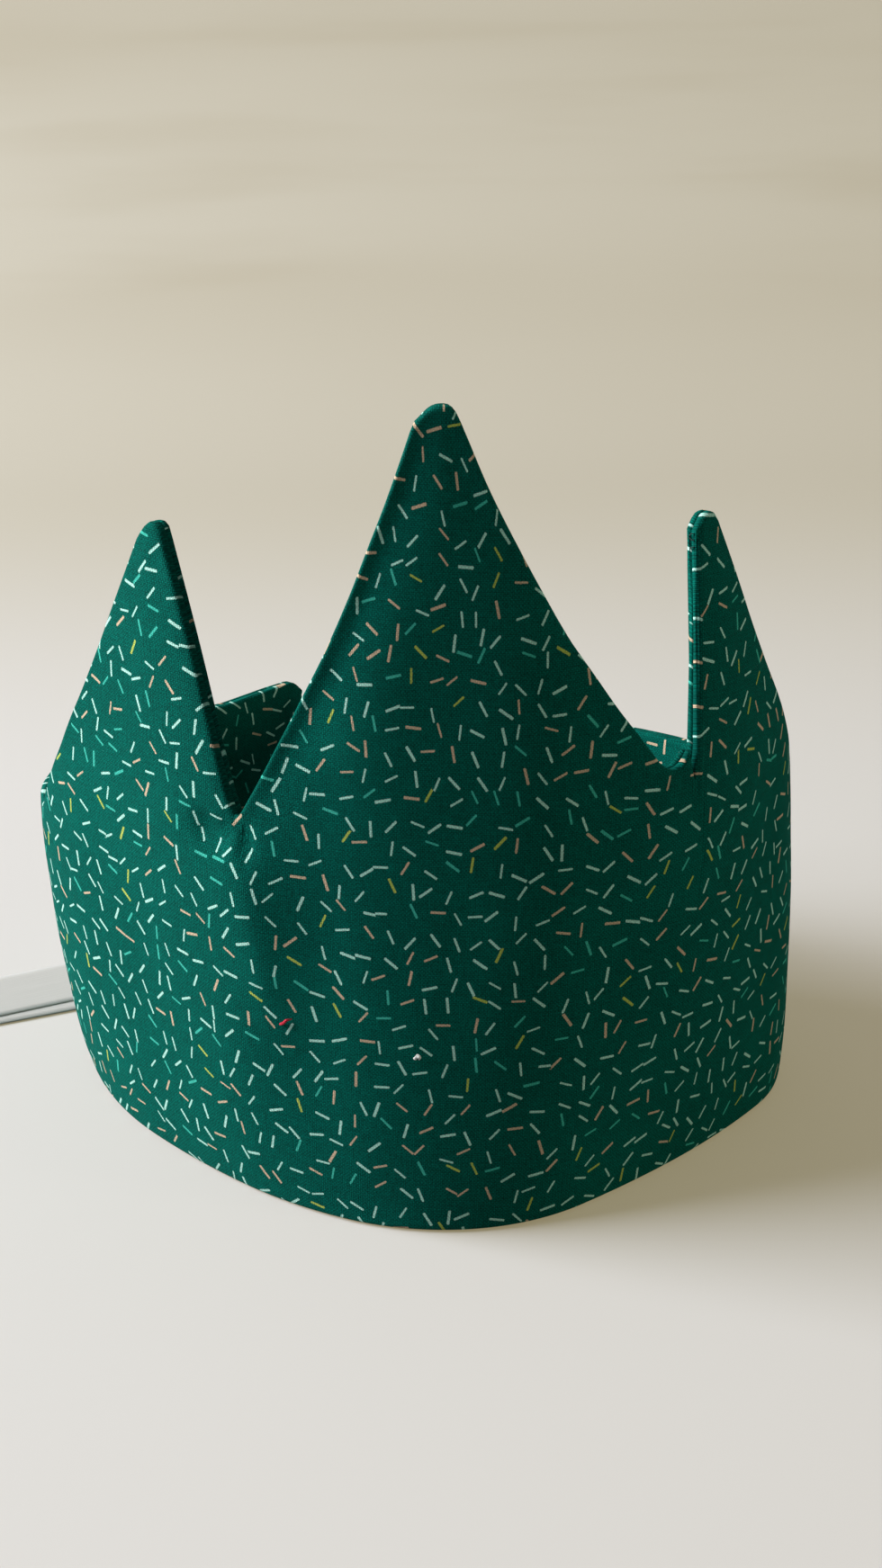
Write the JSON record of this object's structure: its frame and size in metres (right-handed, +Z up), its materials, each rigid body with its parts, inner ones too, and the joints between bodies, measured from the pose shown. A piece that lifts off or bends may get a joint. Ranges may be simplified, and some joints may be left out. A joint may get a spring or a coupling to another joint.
{
  "type": "padded fabric crown",
  "caption": "Open-backed dress-up crown of padded cotton with pointed front and ribbon ties, standing on its lower edge.",
  "frame": {"origin": "on the floor under the middle of the front, at the outer face's lower edge", "axes": "+Z up, -Y out of the front, +X to the right of someone who looks at the front"},
  "size_m": [0.2211, 0.1738, 0.16],
  "materials": {
    "printed_cotton": "woven print",
    "lining_cotton": "woven print",
    "wadding": "felted",
    "satin_ribbon": "satin"
  },
  "bodies": {
    "root": {"outer_panel": "printed_cotton", "lining_panel": "lining_cotton", "wadding": "wadding", "left_tie": "satin_ribbon", "right_tie": "satin_ribbon"}
  },
  "joints": []
}
